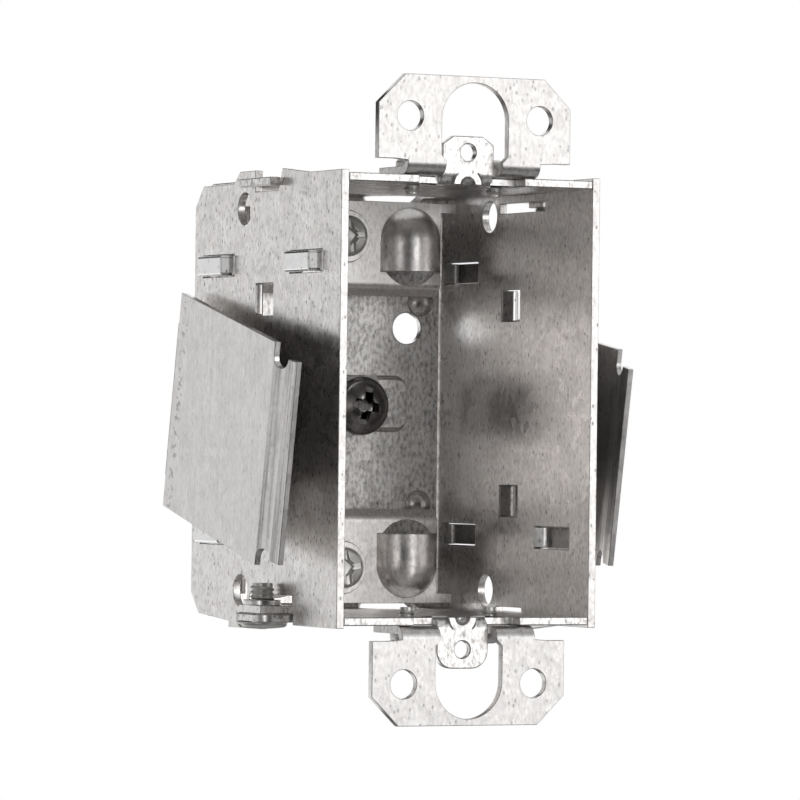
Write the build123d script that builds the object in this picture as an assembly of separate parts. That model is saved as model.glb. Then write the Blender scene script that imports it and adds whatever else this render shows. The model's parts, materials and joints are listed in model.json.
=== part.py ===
from build123d import *
import os
from math import cos, radians, sin

os.makedirs("parts", exist_ok=True)

# Frame of the part
# Millimetres. X to the right, Y to the back, Z up. The origin is midway between the two device-screw holes, on the
# front face of the device ears. A depth is measured back from the front edge of the box.

# Driving sizes
device_pitch = 83.34
gang_width = 46.04
wall_span = 75.2
box_depth = 57.15
ear_setback = 1.6
sheet = 1.4
spring_sheet = 1.0
clamp_sheet = 1.1
bend_radius = 0.8
running_gap = 0.05
thread_gap = 0.03
screw_clearance = 0.15
over = 1.0

# Screws
device_hole_radius = 1.45
ear_screw_radius = 1.42
clamp_screw_radius = 2.06
gang_screw_radius = 2.08
ground_screw_radius = 2.4

# Derived planes
half_gang = gang_width / 2
plate_face = half_gang + sheet
wall_out = wall_span / 2
wall_in = wall_out - sheet
back_in = box_depth - sheet


def at(depth):
    """Y of a depth behind the front edge of the box."""
    return depth - ear_setback


def block(x_span, depth_span, z_span):
    """Box between two x values, two depths and two heights."""
    x0, x1 = sorted(x_span)
    d0, d1 = sorted(depth_span)
    z0, z1 = sorted(z_span)
    centre = Pos((x0 + x1) / 2, at((d0 + d1) / 2), (z0 + z1) / 2)
    return centre * Box(x1 - x0, d1 - d0, z1 - z0)


def rod_along_x(x_span, depth, z, radius):
    x0, x1 = sorted(x_span)
    return Pos((x0 + x1) / 2, at(depth), z) * Rot(0, 90, 0) * Cylinder(radius, x1 - x0)


def rod_along_y(x, depth_span, z, radius):
    d0, d1 = sorted(depth_span)
    return Pos(x, at((d0 + d1) / 2), z) * Rot(90, 0, 0) * Cylinder(radius, d1 - d0)


def rod_along_z(x, depth, z_span, radius):
    z0, z1 = sorted(z_span)
    return Pos(x, at(depth), (z0 + z1) / 2) * Cylinder(radius, z1 - z0)


def half_turn(shape):
    """The same shape turned half round about the Y axis."""
    return Rot(0, 180, 0) * shape


def left_to_right(shape):
    return mirror(shape, about=Plane.YZ)


def top_to_bottom(shape):
    return mirror(shape, about=Plane.XY)


def sheet_section(points, radius, thickness, side):
    """Face of a folded sheet: a line through points, rounded at its bends, thickened to one side."""
    line = FilletPolyline(*points, radius=radius)
    return make_face(offset(line, amount=thickness, side=side))


def folded_across(points, radius, thickness, side, half_width):
    """Folded sheet with its section in depth and height, as wide as twice half_width."""
    section = sheet_section([(at(d), z) for d, z in points], radius, thickness, side)
    return extrude(Plane.YZ * section, amount=half_width, both=True)


# Box frame: end walls, bevels and back wall
bevel_depth = 3.05
bevel_height = 3.7


def folded_shell():
    bevel_start = box_depth - bevel_depth
    bevel_end = wall_out - bevel_height
    points = [
        (0, wall_out),
        (bevel_start, wall_out),
        (box_depth, bevel_end),
        (box_depth, -bevel_end),
        (bevel_start, -wall_out),
        (0, -wall_out),
    ]
    return folded_across(points, bend_radius + sheet, sheet, Side.RIGHT, half_gang)


# Device ears
device_ear_half = 4.85
device_ear_root = 12.0
device_ear_top = device_pitch / 2 + 2.75
device_ear_bottom = device_pitch / 2 + 3.2
ear_chamfer_side = 2.1
ear_chamfer_end = sheet
ear_corner_radius = 3.0
relief_half = 9.9
relief_depth = 3.2
gusset_radius = 1.3
gusset_room = gusset_radius * 8


def device_ear(reach):
    points = [
        (device_ear_root, wall_in),
        (ear_setback, wall_in),
        (ear_setback, reach),
    ]
    ear = folded_across(points, bend_radius + sheet, sheet, Side.RIGHT, device_ear_half)
    hole = rod_along_y(0, (0, relief_depth * 2), device_pitch / 2, device_hole_radius)
    return ear - hole


def outer_corners(ear):
    """Edges at the two outer corners of an ear that reaches upwards."""
    return ear.edges().filter_by(Axis.Y).group_by(Axis.Z)[-1]


def gusset():
    """Solid and hollow of the dimple pressed into an ear's bend, for the top end."""
    corner = Pos(0, 0, wall_in)
    room_depth = (ear_setback, ear_setback + gusset_room)
    outside = block((-gusset_room, gusset_room), room_depth, (wall_in, wall_in + gusset_room))
    bulge = (corner * Sphere(gusset_radius + sheet)) & outside
    return bulge, corner * Sphere(gusset_radius)


# Cable entries
cable_x = 12.2
cable_depth = box_depth - 6.35
cable_radius = 6.45
cable_entry_z = wall_out - bevel_height + 0.5

# Back wall
knock_x = 16.4
knock_z = 13.3
knock_radius = 2.77
pad_centre_x = 6.2
pad_centre_z = -0.15
pad_length = 20.2
pad_height = 9.7
pad_corner = 2.4
pad_rise = 1.3
pad_taper = 20.0
dome_x = 19.0
dome_z = 18.0
dome_base = 2.4
dome_rise = 1.4
clamp_screw_z = wall_in - 7.2
ground_x = 6.2
ground_z = -0.6


def ground_pad():
    """Solid and hollow of the pad raised into the box for the ground screw."""
    plane = Plane(origin=(pad_centre_x, at(back_in), pad_centre_z), x_dir=(1, 0, 0), z_dir=(0, -1, 0))
    face = RectangleRounded(pad_length, pad_height, pad_corner)
    solid = extrude(plane * face, amount=pad_rise, taper=pad_taper)
    inner = RectangleRounded(pad_length - sheet, pad_height - sheet, pad_corner - sheet / 2)
    hollow = extrude(plane.offset(-sheet) * inner, amount=pad_rise, taper=pad_taper)
    return solid, hollow


def dome(x, z):
    """Solid and hollow of one round dimple in the back wall."""
    radius = (dome_base ** 2 + dome_rise ** 2) / (2 * dome_rise)
    centre = Pos(x, at(back_in + radius - dome_rise), z)
    room = block((x - radius, x + radius), (back_in - radius, back_in), (z - radius, z + radius))
    solid = (centre * Sphere(radius)) & room
    hollow = Pos(0, sheet, 0) * centre * Sphere(radius)
    return solid, hollow


# Hook tab and screw tab, described at the top left and the bottom left of the frame
hook_neck = (24.6, 29.8)
hook_bar = (22.9, 35.6)
hook_gap = 0.25
hook_width = 1.9
screw_tab = (17.2, 28.9)
screw_tab_reach = 5.9
screw_tab_corner = 3.0
gang_screw_out = 2.45
gang_screw_depth = 23.4
gang_screw_x = -(plate_face + gang_screw_out)


def hook_tab():
    walls = (wall_in, wall_out)
    bar_in = -(plate_face + hook_gap)
    bar_out = bar_in - hook_width
    neck = block((-half_gang, bar_out), hook_neck, walls)
    bar = block((bar_in, bar_out), hook_bar, walls)
    return neck + bar


def screw_tab_plate():
    walls = (-wall_out, -wall_in)
    tab = block((-half_gang, -(plate_face + screw_tab_reach)), screw_tab, walls)
    corners = tab.edges().filter_by(Axis.Z).group_by(Axis.X)[0]
    tab = fillet(corners, radius=screw_tab_corner)
    return tab - rod_along_z(gang_screw_x, gang_screw_depth, walls, gang_screw_radius + screw_clearance)


# Where the plaster-ear screws enter the end walls
ear_screw_x = 7.8
ear_screw_depth = 7.1


def box_frame():
    frame = folded_shell()
    walls = (wall_in - over, wall_out + over)
    relief = block((-relief_half, relief_half), (-over, relief_depth), walls)
    top_ear = device_ear(device_ear_top)
    top_ear = chamfer(outer_corners(top_ear), length=ear_chamfer_end, length2=ear_chamfer_side)
    bottom_ear = device_ear(device_ear_bottom)
    bottom_ear = top_to_bottom(fillet(outer_corners(bottom_ear), radius=ear_corner_radius))
    frame = frame - relief - top_to_bottom(relief) + top_ear + bottom_ear

    bulge, dent = gusset()
    frame = frame + bulge + top_to_bottom(bulge) - dent - top_to_bottom(dent)

    tabs = hook_tab() + screw_tab_plate()
    frame = frame + tabs + half_turn(tabs)

    pad, pad_hollow = ground_pad()
    frame = frame + pad - pad_hollow
    for side in (-1, 1):
        for end in (-1, 1):
            bump, bump_hollow = dome(side * dome_x, end * dome_z)
            frame = frame + bump - bump_hollow
            entry_span = (end * cable_entry_z, end * walls[1])
            frame -= rod_along_z(side * cable_x, cable_depth, entry_span, cable_radius)
            tapped_span = (end * walls[0], end * walls[1])
            frame -= rod_along_z(side * ear_screw_x, ear_screw_depth, tapped_span, ear_screw_radius + thread_gap)
        through = (back_in - pad_rise - over, box_depth + over)
        frame -= rod_along_y(side * knock_x, through, side * knock_z, knock_radius)
        frame -= rod_along_y(0, through, side * clamp_screw_z, clamp_screw_radius + running_gap)
    frame -= rod_along_y(ground_x, through, ground_z, ground_screw_radius + thread_gap)
    return frame


# Side plate, described on the left; the right one is the same plate turned half round
plate_edge = wall_out + 0.45
plate_back = box_depth + 0.35
plate_bevel_z = wall_out - bevel_height - 0.4
plate_bevel_depth = box_depth - bevel_depth + 0.2
plate_back_edge = wall_out - 0.5
front_tooth = (12.0, 22.8)
tooth_top = wall_out + 1.5
hook_notch = (24.1, 33.3)
hook_notch_floor = wall_in - 0.8
back_tooth_end = 39.5
back_tooth_foot = 41.9
tab_notch = (16.6, 29.5)
foot_end = 42.0
nail_depth = 37.4
nail_z = wall_out - 4.9
nail_radius = 2.77
window_span = (17.0, 33.6)
window_height = 1.7
lip_span = (19.4, 28.0)
lip_reach = 4.7
collar_radius = 3.2
collar_height = 0.9


def plate_outline():
    points = [
        (0, plate_edge),
        (front_tooth[0], plate_edge),
        (front_tooth[1], tooth_top),
        (hook_notch[0], hook_notch_floor),
        (hook_notch[1], hook_notch_floor),
        (hook_notch[1], tooth_top),
        (back_tooth_end, tooth_top),
        (back_tooth_foot, plate_back_edge),
        (plate_bevel_depth, plate_back_edge),
        (plate_back, plate_bevel_z),
        (plate_back, -plate_bevel_z),
        (plate_bevel_depth, -plate_back_edge),
        (foot_end, -plate_edge),
        (foot_end, -tooth_top),
        (tab_notch[1], -tooth_top),
        (tab_notch[1], -wall_in),
        (tab_notch[0], -wall_in),
        (tab_notch[0], -plate_edge),
        (0, -plate_edge),
    ]
    return Polyline(*[(at(d), z) for d, z in points], close=True)


# Lanced bridges and tongues of a side plate
bridge_length = 12.6
bridge_height = 3.5
bridge_rise = 1.9
bridge_slope = 1.6
bridge_z = 23.1
bridge_back = box_depth - 9.45
bridge_front = 13.2
bridge_foot = 1.0
tongue_window = (25.8, 32.6)
tongue_height = 5.2
tongue_length = 2.2
tongue_rise = 1.2
tongue_z = 17.0
lance_cut = 0.15
lance_bend = 0.6
through_plate = (-half_gang + over, -plate_face - over)


def lanced_section(outer):
    """Section of a strip pushed out of the plate: its outer line and the same line one sheet further in."""
    line = FilletPolyline(*outer, radius=lance_bend)
    inner = Pos(sheet, 0, 0) * line
    ends = [Line(line @ 0, inner @ 0), Line(line @ 1, inner @ 1)]
    return make_face([*line.edges(), *inner.edges(), *ends])


def bridge(depth, z):
    """Window and raised strip of one lanced bridge."""
    d0 = depth - bridge_length / 2
    d1 = depth + bridge_length / 2
    face = -plate_face
    top = -(plate_face + bridge_rise)
    outer = [
        (face, at(d0 - bridge_foot)),
        (face, at(d0)),
        (top, at(d0 + bridge_slope)),
        (top, at(d1 - bridge_slope)),
        (face, at(d1)),
        (face, at(d1 + bridge_foot)),
    ]
    section = lanced_section(outer)
    strip = Pos(0, 0, z) * extrude(section, amount=bridge_height / 2, both=True)
    half_window = bridge_height / 2 + lance_cut
    window = block(through_plate, (d0, d1), (z - half_window, z + half_window))
    return window, strip


def tongue(z):
    """Window and the short tongue bent out along the window's back edge."""
    d0, d1 = tongue_window
    face = -plate_face
    outer = [
        (face, at(d1 + bridge_foot)),
        (face, at(d1)),
        (face - tongue_rise, at(d1 - tongue_length)),
    ]
    section = lanced_section(outer)
    strip = Pos(0, 0, z) * extrude(section, amount=tongue_height / 2, both=True)
    half_window = tongue_height / 2 + lance_cut
    window = block(through_plate, (d0, d1), (z - half_window, z + half_window))
    return window, strip


def left_side_plate():
    plate = Pos(-half_gang, 0, 0) * extrude(Plane.YZ * make_face(plate_outline()), amount=-sheet)
    lip_top = -(wall_in - sheet)
    plate -= block(through_plate, window_span, (lip_top, lip_top + window_height))
    for end in (-1, 1):
        plate -= rod_along_x(through_plate, nail_depth, end * nail_z, nail_radius)
    lip = block((-half_gang, -(plate_face + lip_reach)), lip_span, (-wall_in, lip_top))
    collar = rod_along_z(gang_screw_x, gang_screw_depth, (lip_top, lip_top + collar_height), collar_radius)
    tapped_radius = gang_screw_radius + thread_gap
    tapped = rod_along_z(gang_screw_x, gang_screw_depth, (-wall_in, lip_top + collar_height), tapped_radius)
    collar -= block((-half_gang, -plate_face), window_span, (lip_top, lip_top + window_height))
    plate = plate + lip + collar - tapped
    raised = [bridge(bridge_back, bridge_z), bridge(bridge_front, bridge_z), bridge(bridge_back, -bridge_z)]
    raised += [tongue(tongue_z), tongue(-tongue_z)]
    for window, piece in raised:
        plate = plate - window + piece
    return plate


# Gang screw, described on the left
gang_tip_z = -(wall_in - 5.1)
gang_head_radius = 4.3
gang_head_height = 1.2
gang_head_round = 0.9
slot_width = 1.1
slot_depth = 0.7
screw_point = 0.4


def left_gang_screw():
    head_span = (-wall_out - gang_head_height, -wall_out)
    head = rod_along_z(gang_screw_x, gang_screw_depth, head_span, gang_head_radius)
    head = fillet(head.edges().group_by(Axis.Z)[0], radius=gang_head_round)
    slot_z = (-wall_out - gang_head_height, -wall_out - gang_head_height + slot_depth)
    slot_x = (gang_screw_x - gang_head_radius, gang_screw_x + gang_head_radius)
    slot_d = (gang_screw_depth - slot_width / 2, gang_screw_depth + slot_width / 2)
    shank = rod_along_z(gang_screw_x, gang_screw_depth, (-wall_out, gang_tip_z), gang_screw_radius)
    shank = chamfer(shank.edges().group_by(Axis.Z)[-1], length=screw_point)
    return head + shank - block(slot_x, slot_d, slot_z)


# Spring clip, described on the left: a leaf on the side plate, a fold and a flared wing
clip_tilt = 10.5
clip_flare = 6.5
fold_inner = 0.4
fold_outer = fold_inner + spring_sheet
fold_depth = box_depth + 2.95
wing_half = 18.9
wing_length = 51.2
wing_lip = 6.4
lip_crease = 3.1
lip_bend = 22.0
lip_crease_bend = 13.0
lip_top_step = 2.3
lip_bottom_step = 1.3
lip_relief_radius = 1.8
leaf_half = 13.5
leaf_length = 21.0
fold_axis = Vector(-(plate_face + fold_outer), at(fold_depth), 0)
fold_up = Vector(0, -sin(radians(clip_tilt)), cos(radians(clip_tilt)))


def clip_plane(flare):
    """Plane through the fold's axis: x along the sheet to the front, y up the fold, z outwards."""
    forward = Vector(0, -cos(radians(clip_tilt)), -sin(radians(clip_tilt)))
    outward = Vector(-1, 0, 0)
    along = forward * cos(radians(flare)) + outward * sin(radians(flare))
    normal = outward * cos(radians(flare)) - forward * sin(radians(flare))
    return Plane(origin=fold_axis, x_dir=along, z_dir=normal)


def fold_section_plane(flare):
    """Plane across the fold: x along the sheet, y outwards."""
    base = clip_plane(flare)
    return Plane(origin=fold_axis, x_dir=base.x_dir, z_dir=base.y_dir * -1)


def left_spring_leaf():
    across = fold_section_plane(0)
    leaf = Pos(leaf_length / 2, -(fold_inner + spring_sheet / 2)) * Rectangle(leaf_length, spring_sheet)
    far = fold_outer * 2
    front_half = Pos(far / 2, 0) * Rectangle(far, far * 2)
    wing_side = Rot(0, 0, clip_flare) * front_half
    ring = Circle(fold_outer) - Circle(fold_inner) - front_half - wing_side
    return extrude(across * (leaf + ring), amount=leaf_half, both=True)


def left_spring_wing():
    across = fold_section_plane(clip_flare)
    crease = (wing_length + lip_crease * cos(radians(lip_bend)), fold_inner - lip_crease * sin(radians(lip_bend)))
    rest = wing_lip - lip_crease
    tip = (crease[0] + rest * cos(radians(lip_crease_bend)), crease[1] - rest * sin(radians(lip_crease_bend)))
    points = [(0, fold_inner), (wing_length, fold_inner), crease, tip]
    section = sheet_section(points, bend_radius + spring_sheet, spring_sheet, Side.LEFT)
    wing = extrude(across * section, amount=wing_half, both=True)
    flat = clip_plane(clip_flare)
    for end, step in ((1, lip_top_step), (-1, lip_bottom_step)):
        cut = Pos(wing_length + wing_lip, end * wing_half) * Rectangle(wing_lip * 2, step * 2)
        round_cut = Pos(wing_length + lip_relief_radius, end * (wing_half - step)) * Circle(lip_relief_radius)
        wing -= extrude(flat * (cut + round_cut), amount=wing_lip, both=True)
    return wing


# Plaster ear, described at the top
plaster_front = -0.83
plaster_rise = 16.7
plaster_top = wall_out + plaster_rise
plaster_top_half = 13.1
shoulder_rise = 11.8
plaster_shoulder_z = wall_out + shoulder_rise
plaster_half = 18.1
plaster_low_rise = 2.5
plaster_low_z = wall_out + plaster_low_rise
plaster_low_half = 14.9
leg_outer = 12.5
leg_inner = 5.25
leg_end = 11.6
leg_corner = 2.0
neck_rise = 0.1
cutout_half = 6.25
cutout_arc_rise = 9.35
cutout_arc_z = wall_out + cutout_arc_rise
cutout_low_rise = 3.4
cutout_low_z = wall_out + cutout_low_rise
plaster_hole_x = 12.2
plaster_hole_rise = 9.7
plaster_hole_z = wall_out + plaster_hole_rise
plaster_hole_radius = 2.45
plaster_slot_gap = 0.25
plaster_slot_radius = ear_screw_radius + plaster_slot_gap
ear_travel = 1.5


def top_plaster_ear():
    points = [
        (leg_end, wall_out),
        (plaster_front, wall_out),
        (plaster_front, plaster_top),
    ]
    ear = folded_across(points, bend_radius + sheet, sheet, Side.RIGHT, plaster_half)
    neck_z = wall_out + sheet + bend_radius + neck_rise
    half_outline = [
        (leg_inner, wall_out - over),
        (leg_outer, wall_out - over),
        (leg_outer, neck_z),
        (plaster_low_half, plaster_low_z),
        (plaster_half, plaster_low_z),
        (plaster_half, plaster_shoulder_z),
        (plaster_top_half, plaster_top),
        (0, plaster_top),
        (0, cutout_arc_z),
        (cutout_half, cutout_arc_z),
        (cutout_half, cutout_low_z),
        (leg_inner, cutout_low_z - (cutout_half - leg_inner)),
    ]
    half = make_face(Polyline(*half_outline, close=True))
    outline = half + mirror(half, about=Plane.YZ) - Pos(0, cutout_arc_z) * Circle(cutout_half)
    ear &= extrude(Plane.XZ * outline, amount=box_depth, both=True)
    walls = (wall_out - over, wall_out + sheet + over)
    through = (plaster_front - over, plaster_front + sheet + over)
    for side in (-1, 1):
        ear -= rod_along_y(side * plaster_hole_x, through, plaster_hole_z, plaster_hole_radius)
        slot = SlotCenterToCenter(ear_travel * 2, plaster_slot_radius * 2, rotation=90)
        slot = Pos(side * ear_screw_x, at(ear_screw_depth), walls[0]) * extrude(slot, amount=walls[1] - walls[0])
        ear -= slot
    ends = ear.edges().filter_by(Axis.Z).group_by(Axis.Y)[-1]
    return fillet(ends, radius=leg_corner)


# Plaster-ear screws, described at the top
ear_head_radius = 2.75
ear_head_height = 1.9
ear_head_round = 0.8
ear_screw_inside = 1.5
ear_screw_point = 0.3


def top_ear_screws():
    under_head = wall_out + sheet
    head_top = under_head + ear_head_height
    screws = []
    for side in (-1, 1):
        x = side * ear_screw_x
        head = rod_along_z(x, ear_screw_depth, (under_head, head_top), ear_head_radius)
        head = fillet(head.edges().group_by(Axis.Z)[-1], radius=ear_head_round)
        slot_x = (x - ear_head_radius, x + ear_head_radius)
        slot_d = (ear_screw_depth - slot_width / 2, ear_screw_depth + slot_width / 2)
        head -= block(slot_x, slot_d, (head_top - slot_depth, head_top))
        shank = rod_along_z(x, ear_screw_depth, (wall_in - ear_screw_inside, under_head), ear_screw_radius)
        shank = chamfer(shank.edges().group_by(Axis.Z)[0], length=ear_screw_point)
        screws.append(head + shank)
    return Compound(children=screws)


# Cable clamp, described at the top
clamp_stand_off = 9.65
clamp_height = 16.6
clamp_top_gap = 0.9
clamp_front = box_depth - clamp_stand_off
clamp_high = wall_in - clamp_top_gap
clamp_low = clamp_high - clamp_height
clamp_strip_low = clamp_high - 1.8
clamp_half = 18.7
clamp_strip_half = 21.7
clamp_lip_z = clamp_low + 1.7
clamp_lip_depth = 1.5
saddle_x = 12.7
saddle_radius = 6.15
saddle_sunk = 1.9
saddle_low = clamp_low + 4.3
saddle_high = clamp_low + 9.7
saddle_mouth = 2.4
clamp_ring_radius = 4.6
clamp_ring_rise = 0.4
clamp_hole_gap = 0.3


def saddle(x):
    """Solid and hollow of one pressed saddle: a half round with a rounded end towards the end wall."""
    axis_depth = clamp_front + saddle_sunk
    inner_radius = saddle_radius - clamp_sheet
    middle = Pos(x, at(axis_depth), saddle_high)
    solid = rod_along_z(x, axis_depth, (saddle_low, saddle_high), saddle_radius) + middle * Sphere(saddle_radius)
    hollow = rod_along_z(x, axis_depth, (saddle_low, saddle_high), inner_radius) + middle * Sphere(inner_radius)
    room_x = (x - saddle_radius, x + saddle_radius)
    room_z = (saddle_low, saddle_high + saddle_radius + over)
    solid &= block(room_x, (clamp_front - saddle_radius, clamp_front + clamp_sheet), room_z)
    hollow &= block(room_x, (clamp_front - saddle_radius, clamp_front + saddle_radius), room_z)
    return solid, hollow


def saddle_mouth_cut(x):
    """Rounded opening in the flat of the clamp, below the open end of a saddle."""
    half_width = ((saddle_radius - clamp_sheet) ** 2 - saddle_sunk ** 2) ** 0.5
    radius = (half_width ** 2 + saddle_mouth ** 2) / (2 * saddle_mouth)
    through = (clamp_front - over, clamp_front + clamp_sheet + over)
    rod = rod_along_y(x, through, saddle_low - saddle_mouth + radius, radius)
    return rod & block((x - half_width, x + half_width), through, (saddle_low - saddle_mouth, saddle_low))


def top_cable_clamp():
    clamp_back = clamp_front + clamp_sheet
    points = [
        (clamp_front, clamp_high),
        (clamp_front, clamp_lip_z),
        (clamp_front + clamp_lip_depth, clamp_low),
    ]
    clamp = folded_across(points, bend_radius + clamp_sheet, clamp_sheet, Side.LEFT, clamp_strip_half)
    for side in (-1, 1):
        span = (side * clamp_half, side * (clamp_strip_half + over))
        trim_depth = (clamp_front - over, clamp_back + clamp_lip_depth + over)
        clamp -= block(span, trim_depth, (clamp_low - over, clamp_strip_low))
        solid, hollow = saddle(side * saddle_x)
        clamp = clamp + solid - hollow - saddle_mouth_cut(side * saddle_x)
    ring_span = (clamp_front - clamp_ring_rise, clamp_front)
    clamp += rod_along_y(0, ring_span, clamp_screw_z, clamp_ring_radius)
    hole_span = (clamp_front - over, clamp_back + over)
    return clamp - rod_along_y(0, hole_span, clamp_screw_z, clamp_screw_radius + clamp_hole_gap)


# Clamp screw, described at the top
clamp_head_radius = 3.6
clamp_head_height = 2.2
clamp_head_round = 0.7
clamp_screw_end = box_depth + 1.05
recess_square = 2.3
recess_depth = 1.4
recess_turn = 20.0


def top_clamp_screw():
    under_head = clamp_front - clamp_ring_rise
    face = under_head - clamp_head_height
    head = rod_along_y(0, (face, under_head), clamp_screw_z, clamp_head_radius)
    head = fillet(head.edges().group_by(Axis.Y)[0], radius=clamp_head_round)
    shank = rod_along_y(0, (under_head, clamp_screw_end), clamp_screw_z, clamp_screw_radius)
    shank = chamfer(shank.edges().group_by(Axis.Y)[-1], length=screw_point)
    plane = Plane(origin=(0, at(face), clamp_screw_z), x_dir=(1, 0, 0), z_dir=(0, 1, 0))
    square = extrude(plane * Rectangle(recess_square, recess_square, rotation=recess_turn), amount=recess_depth)
    slot = extrude(plane * Rectangle(clamp_head_radius * 2, slot_width, rotation=recess_turn), amount=slot_depth)
    return head + shank - square - slot


# Ground screw and its wire plate
pad_top = back_in - pad_rise
wire_plate_side = 9.2
wire_plate_thickness = 1.2
wire_plate_turn = 18.0
wire_plate_gap = 0.15
ground_head_radius = 5.2
ground_head_height = 3.0
ground_head_round = 1.1
ground_screw_end = box_depth - 0.15
cross_length = 5.6
cross_width = 1.5
cross_depth = 1.8
ground_slot_turn = 78.0


def ground_wire_plate():
    plane = Plane(origin=(ground_x, at(pad_top), ground_z), x_dir=(1, 0, 0), z_dir=(0, -1, 0))
    face = Rectangle(wire_plate_side, wire_plate_side, rotation=wire_plate_turn)
    face -= Circle(ground_screw_radius + wire_plate_gap)
    return extrude(plane * face, amount=wire_plate_thickness)


def ground_screw():
    under_head = pad_top - wire_plate_thickness
    face = under_head - ground_head_height
    head = rod_along_y(ground_x, (face, under_head), ground_z, ground_head_radius)
    head = fillet(head.edges().group_by(Axis.Y)[0], radius=ground_head_round)
    shank = rod_along_y(ground_x, (under_head, ground_screw_end), ground_z, ground_screw_radius)
    shank = chamfer(shank.edges().group_by(Axis.Y)[-1], length=screw_point)
    plane = Plane(origin=(ground_x, at(face), ground_z), x_dir=(1, 0, 0), z_dir=(0, -1, 0))
    cross = Rectangle(cross_length, cross_width, rotation=ground_slot_turn)
    cross += Rectangle(cross_width, cross_length, rotation=ground_slot_turn)
    recess = extrude(plane * cross, amount=-cross_depth)
    slot = extrude(plane * Rectangle(ground_head_radius * 2, slot_width, rotation=ground_slot_turn), amount=-slot_depth)
    return head + shank - recess - slot


plate = left_side_plate()
gang_screw = left_gang_screw()
leaf = left_spring_leaf()
wing = left_spring_wing()
plaster_ear = top_plaster_ear()
ear_screws = top_ear_screws()
cable_clamp = top_cable_clamp()
clamp_screw = top_clamp_screw()

export_step(box_frame(), "parts/box_frame.step")
export_step(plate, "parts/left_side_plate.step")
export_step(half_turn(plate), "parts/right_side_plate.step")
export_step(gang_screw, "parts/left_gang_screw.step")
export_step(half_turn(gang_screw), "parts/right_gang_screw.step")
export_step(leaf, "parts/left_spring_leaf.step")
export_step(left_to_right(leaf), "parts/right_spring_leaf.step")
export_step(wing, "parts/left_spring_wing.step")
export_step(left_to_right(wing), "parts/right_spring_wing.step")
export_step(plaster_ear, "parts/top_plaster_ear.step")
export_step(top_to_bottom(plaster_ear), "parts/bottom_plaster_ear.step")
export_step(ear_screws, "parts/top_ear_screws.step")
export_step(top_to_bottom(ear_screws), "parts/bottom_ear_screws.step")
export_step(cable_clamp, "parts/top_cable_clamp.step")
export_step(top_to_bottom(cable_clamp), "parts/bottom_cable_clamp.step")
export_step(clamp_screw, "parts/top_clamp_screw.step")
export_step(top_to_bottom(clamp_screw), "parts/bottom_clamp_screw.step")
export_step(ground_screw(), "parts/ground_screw.step")
export_step(ground_wire_plate(), "parts/ground_wire_plate.step")
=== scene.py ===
import json
from math import cos, pi, radians, sin

import bmesh
import bpy
from bpy.props import FloatProperty, FloatVectorProperty, IntProperty, PointerProperty
from bpy.types import Operator, Panel, PropertyGroup
from mathutils import Matrix, Vector

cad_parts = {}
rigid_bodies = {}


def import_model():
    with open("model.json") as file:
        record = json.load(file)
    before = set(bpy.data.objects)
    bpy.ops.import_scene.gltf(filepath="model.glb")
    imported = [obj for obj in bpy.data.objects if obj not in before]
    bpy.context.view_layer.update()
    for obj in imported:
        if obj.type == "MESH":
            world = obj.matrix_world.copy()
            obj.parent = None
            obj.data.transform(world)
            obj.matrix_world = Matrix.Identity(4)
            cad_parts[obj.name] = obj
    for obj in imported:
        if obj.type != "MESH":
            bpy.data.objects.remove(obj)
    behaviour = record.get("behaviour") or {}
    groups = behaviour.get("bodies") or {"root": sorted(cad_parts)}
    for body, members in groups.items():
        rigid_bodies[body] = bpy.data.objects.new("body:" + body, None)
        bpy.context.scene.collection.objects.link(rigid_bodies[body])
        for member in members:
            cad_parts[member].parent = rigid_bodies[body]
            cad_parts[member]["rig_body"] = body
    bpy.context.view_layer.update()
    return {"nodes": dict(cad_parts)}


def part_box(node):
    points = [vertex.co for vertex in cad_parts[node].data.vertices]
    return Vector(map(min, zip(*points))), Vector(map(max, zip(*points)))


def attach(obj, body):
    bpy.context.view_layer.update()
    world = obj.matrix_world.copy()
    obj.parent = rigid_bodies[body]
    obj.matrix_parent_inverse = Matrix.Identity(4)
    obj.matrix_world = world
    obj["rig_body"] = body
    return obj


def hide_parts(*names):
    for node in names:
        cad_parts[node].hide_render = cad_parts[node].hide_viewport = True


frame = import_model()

bl_info = {
    "name": "Switch box",
    "version": (1, 0, 0),
    "blender": (4, 5, 0),
    "location": "3D View > Sidebar > Switch box",
    "description": "Zinc sheet, screws and stage of a steel switch box with spring clips",
    "category": "Object",
}

mm = 0.001

# Sizes and colours that a user may change


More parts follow.
